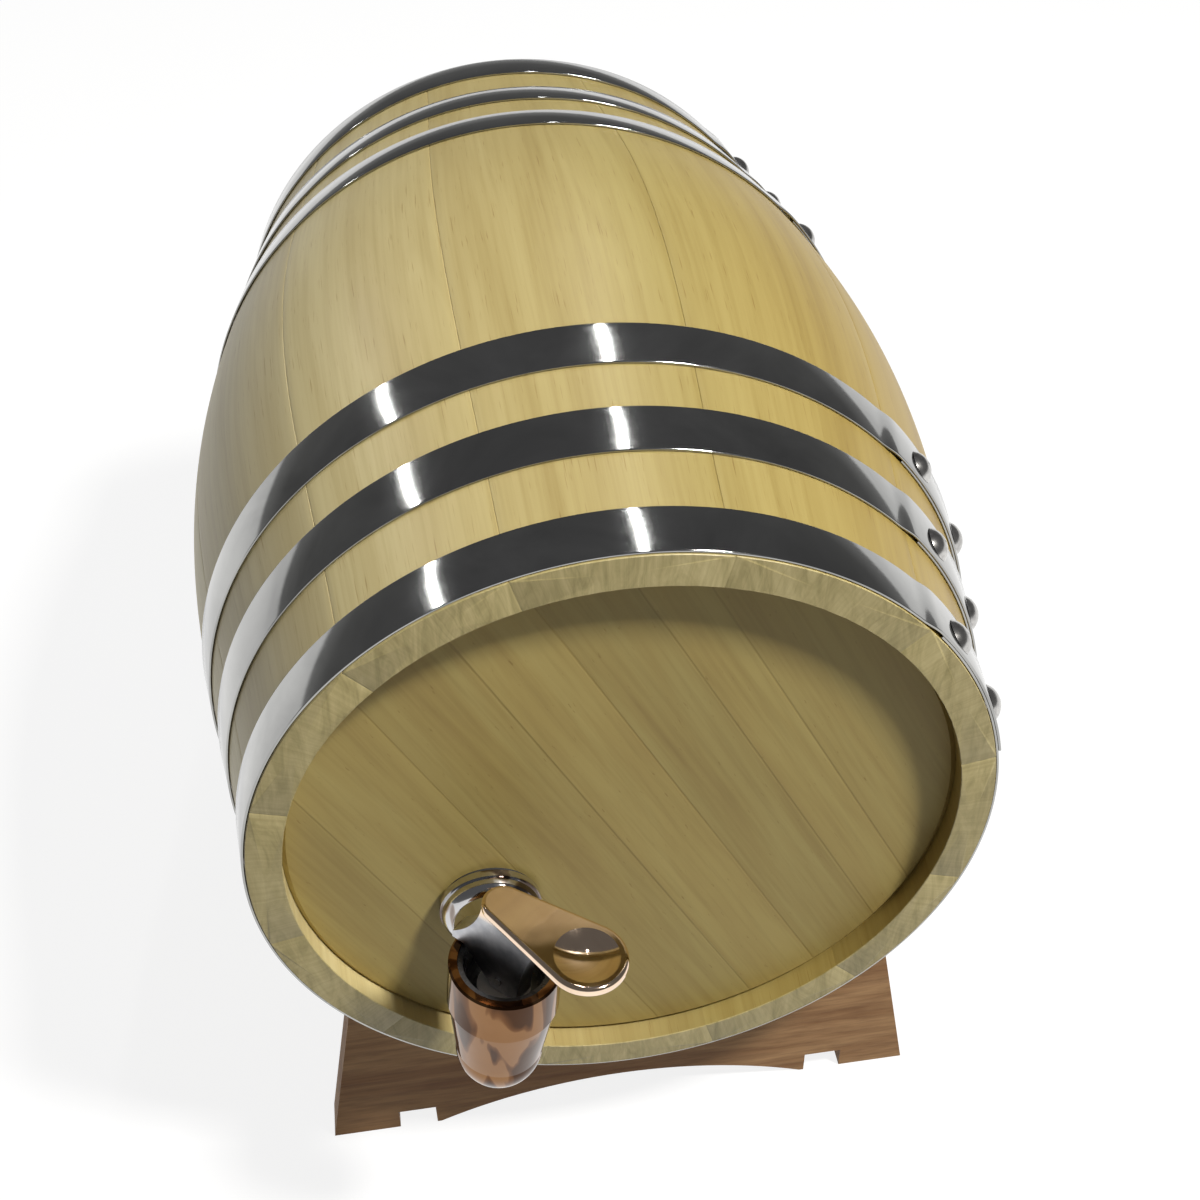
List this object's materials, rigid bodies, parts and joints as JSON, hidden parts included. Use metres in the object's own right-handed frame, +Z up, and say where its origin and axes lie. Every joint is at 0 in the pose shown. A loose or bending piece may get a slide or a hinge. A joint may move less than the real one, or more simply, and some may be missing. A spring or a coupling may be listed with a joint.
{
  "type": "cask liquor dispenser",
  "caption": "Coopered oak cask lying on a wooden cradle, with hooped staves, a chromed lever tap in its front head and a filling bung in its rear head.",
  "frame": {"origin": "on the floor under the middle of the whole dispenser, from the tip of the lever to the rear end of the cask", "axes": "+Z up; +Y along the cask's axis, from its front head with the tap to its rear head; +X to the right as seen from the front"},
  "size_m": [0.255, 0.3588, 0.2913],
  "materials": {
    "stave_oak": "smooth, thinly varnished pale oak",
    "head_oak": "olive-brown oak, thinly varnished",
    "hoop_steel": "polished steel strip",
    "rivet_steel": "bright domed steel",
    "cradle_wood": "dark reddish-brown stained wood",
    "dowel_wood": "plain beech, glued",
    "bung_wood": "turned oak",
    "tap_chrome": "mirror chrome plate on zinc",
    "nut_brass": "plain brass",
    "gasket_rubber": "black, matte",
    "seal_rubber": "black, matte",
    "bonnet_plastic": "black, moulded",
    "washer_plastic": "natural nylon",
    "stem_steel": "turned stainless steel",
    "spring_steel": "drawn stainless wire",
    "lever_chrome": "mirror chrome plate on zinc",
    "pin_steel": "ground steel"
  },
  "bodies": {
    "cask": {"stave_01": "stave_oak", "stave_02": "stave_oak", "stave_03": "stave_oak", "stave_04": "stave_oak", "stave_05": "stave_oak", "stave_06": "stave_oak", "stave_07": "stave_oak", "stave_08": "stave_oak", "stave_09": "stave_oak", "stave_10": "stave_oak", "stave_11": "stave_oak", "stave_12": "stave_oak", "front_head_board_1": "head_oak", "front_head_board_2": "head_oak", "front_head_board_3": "head_oak", "front_head_board_4": "head_oak", "front_head_board_5": "head_oak", "front_head_board_6": "head_oak", "front_head_board_7": "head_oak", "rear_head_board_1": "head_oak", "rear_head_board_2": "head_oak", "rear_head_board_3": "head_oak", "rear_head_board_4": "head_oak", "rear_head_board_5": "head_oak", "rear_head_board_6": "head_oak", "rear_head_board_7": "head_oak", "front_chime_hoop": "hoop_steel", "front_quarter_hoop": "hoop_steel", "front_bilge_hoop": "hoop_steel", "rear_chime_hoop": "hoop_steel", "rear_quarter_hoop": "hoop_steel", "rear_bilge_hoop": "hoop_steel", "hoop_rivets": "rivet_steel", "front_saddle": "cradle_wood", "rear_saddle": "cradle_wood", "left_rail": "cradle_wood", "right_rail": "cradle_wood", "cradle_dowels": "dowel_wood", "tap_body": "tap_chrome", "tap_outer_gasket": "gasket_rubber", "tap_inner_gasket": "gasket_rubber", "tap_lock_nut": "nut_brass", "tap_bonnet": "bonnet_plastic", "stem_o_ring": "seal_rubber", "valve_spring": "spring_steel"},
    "bung": {"bung": "bung_wood"},
    "swivel": {"lever_wear_washer": "washer_plastic"},
    "stem": {"valve_stem": "stem_steel", "valve_seal": "seal_rubber"},
    "lever": {"tap_lever": "lever_chrome", "lever_pivot_pin": "pin_steel"}
  },
  "joints": [
    {"name": "bung_pull", "type": "slide", "parent": "cask", "child": "bung", "axis": [0, 1, 0], "range_m": [0, 0.045]},
    {"name": "lever_swivel", "type": "hinge", "parent": "cask", "child": "swivel", "pos_m": [-0.0413, -0.15061, 0.1395], "axis": [0.1045, 0, 0.9945], "range_deg": [-156, 64]},
    {"name": "stem_lift", "type": "slide", "parent": "swivel", "child": "stem", "axis": [0.1045, 0, 0.9945], "range_m": [0, 0.00284], "stiffness_N_per_m": 600, "springref_m": -0.003, "deforming": ["valve_spring"]},
    {"name": "lever_tilt", "type": "hinge", "parent": "stem", "child": "lever", "pos_m": [-0.03994, -0.15061, 0.15243], "axis": [0.6909, 0.7193, -0.0726], "range_deg": [0, 25]}
  ],
  "couplings": [
    {"joint": "lever_tilt", "follows": "stem_lift", "rad_per_m": 153.85}
  ]
}
